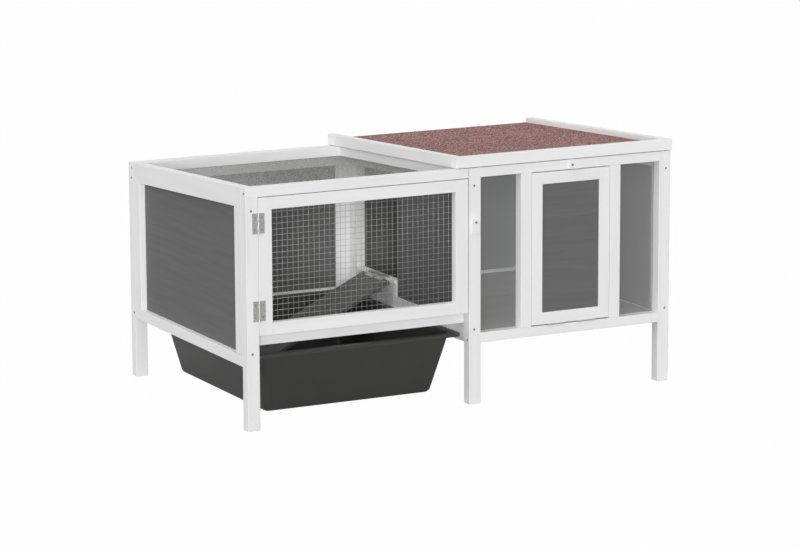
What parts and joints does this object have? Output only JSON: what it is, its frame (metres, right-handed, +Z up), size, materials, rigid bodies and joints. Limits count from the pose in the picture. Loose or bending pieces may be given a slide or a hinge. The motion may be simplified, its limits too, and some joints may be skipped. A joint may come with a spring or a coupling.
{
  "type": "rabbit hutch with run",
  "caption": "Raised timber rabbit hutch with felted roof and drop-down flap, joined to a mesh-topped run with a hinged door, ramp and slide-in tub",
  "frame": {"origin": "Centre of the bounding box's base, on the ground.", "axes": "+X to the right along the front, from the run to the hutch; +Y to the back; +Z up. The front with the doors faces -Y."},
  "size_m": [1.1039, 0.6718, 0.5806],
  "materials": {
    "white_paint": "satin white paint on planed timber",
    "grey_paint": "matt dark grey paint on thin board",
    "floor_paint": "matt mid grey paint on board",
    "ramp_paint": "matt dark grey paint on a plank",
    "bare_board": "bare plywood under the felt",
    "felt": "red-brown mineral roofing felt",
    "tub_plastic": "fine-grained dark plastic",
    "clear_pane": "clear acrylic sheet",
    "wire": "galvanised welded wire",
    "hinge_steel": "zinc-plated pressed steel",
    "screw_steel": "zinc-plated screws"
  },
  "bodies": {
    "frame": {"leg_front_left": "white_paint", "leg_rear_left": "white_paint", "leg_front_middle": "white_paint", "leg_rear_middle": "white_paint", "leg_front_right": "white_paint", "leg_rear_right": "white_paint", "left_side_rails": "white_paint", "left_side_stiles": "white_paint", "left_side_panel": "grey_paint", "run_top_front_rail": "white_paint", "run_top_back_rail": "white_paint", "run_top_right_rail": "white_paint", "run_top_net": "wire", "run_front_bottom_rail": "white_paint", "run_back_bottom_rail": "white_paint", "run_back_upper_rail": "white_paint", "run_back_stiles": "white_paint", "run_back_panel": "grey_paint", "divider_bottom_rail": "white_paint", "divider_top_rail": "white_paint", "divider_jamb": "white_paint", "divider_panel": "grey_paint", "sill_board": "white_paint", "sill_cap": "white_paint", "tub_runners": "white_paint", "ramp_hinge_base": "hinge_steel", "door_hinge_base": "hinge_steel", "button_screws": "screw_steel", "hutch_top_rail": "white_paint", "hutch_bottom_rail": "white_paint", "window_stiles": "white_paint", "window_panes": "clear_pane", "flap_hinge_base": "hinge_steel", "hutch_back_rails": "white_paint", "hutch_back_panel": "grey_paint", "right_side_rails": "white_paint", "right_side_stiles": "white_paint", "right_side_panel": "grey_paint", "hutch_floor": "floor_paint", "floor_battens": "white_paint", "roof_hinge_base": "hinge_steel", "frame_screws": "screw_steel"},
    "run_door": {"door_stiles": "white_paint", "door_rails": "white_paint", "door_net": "wire", "door_hinge_leaves": "hinge_steel"},
    "flap_door": {"flap_stiles": "white_paint", "flap_rails": "white_paint", "flap_panel": "grey_paint", "flap_hinge_leaves": "hinge_steel"},
    "roof": {"roof_board": "bare_board", "roof_felt": "felt", "roof_trim_front": "white_paint", "roof_trim_sides": "white_paint", "roof_hinge_leaves": "hinge_steel"},
    "tub": {"tub": "tub_plastic"},
    "ramp": {"ramp_board": "ramp_paint", "ramp_hinge_leaves": "hinge_steel"},
    "door_turn_button": {"door_button": "white_paint"},
    "flap_turn_button": {"flap_button": "white_paint"}
  },
  "joints": [
    {"name": "run_door_hinge", "type": "hinge", "parent": "frame", "child": "run_door", "pos_m": [-0.52075, -0.33225, 0.372], "axis": [0, 0, -1], "range_deg": [0, 170]},
    {"name": "flap_hinge", "type": "hinge", "parent": "frame", "child": "flap_door", "pos_m": [0.27995, -0.33075, 0.1683], "axis": [1, 0, 0], "range_deg": [0, 115]},
    {"name": "roof_hinge", "type": "hinge", "parent": "frame", "child": "roof", "pos_m": [0.27995, 0.33335, 0.5183], "axis": [-1, 0, 0], "range_deg": [0, 100]},
    {"name": "tub_slide", "type": "slide", "parent": "frame", "child": "tub", "axis": [0, -1, 0], "range_m": [0, 0.016]},
    {"name": "ramp_hinge", "type": "hinge", "parent": "frame", "child": "ramp", "pos_m": [0.00445, 0.12255, 0.2318], "axis": [0, 1, 0], "range_deg": [0, 60]},
    {"name": "door_button_turn", "type": "hinge", "parent": "frame", "child": "door_turn_button", "pos_m": [0.02595, -0.33225, 0.427], "axis": [0, 1, 0], "continuous": true},
    {"name": "flap_button_turn", "type": "hinge", "parent": "frame", "child": "flap_turn_button", "pos_m": [0.27995, -0.33225, 0.5406], "axis": [0, 1, 0], "range_deg": [0, 180]}
  ]
}
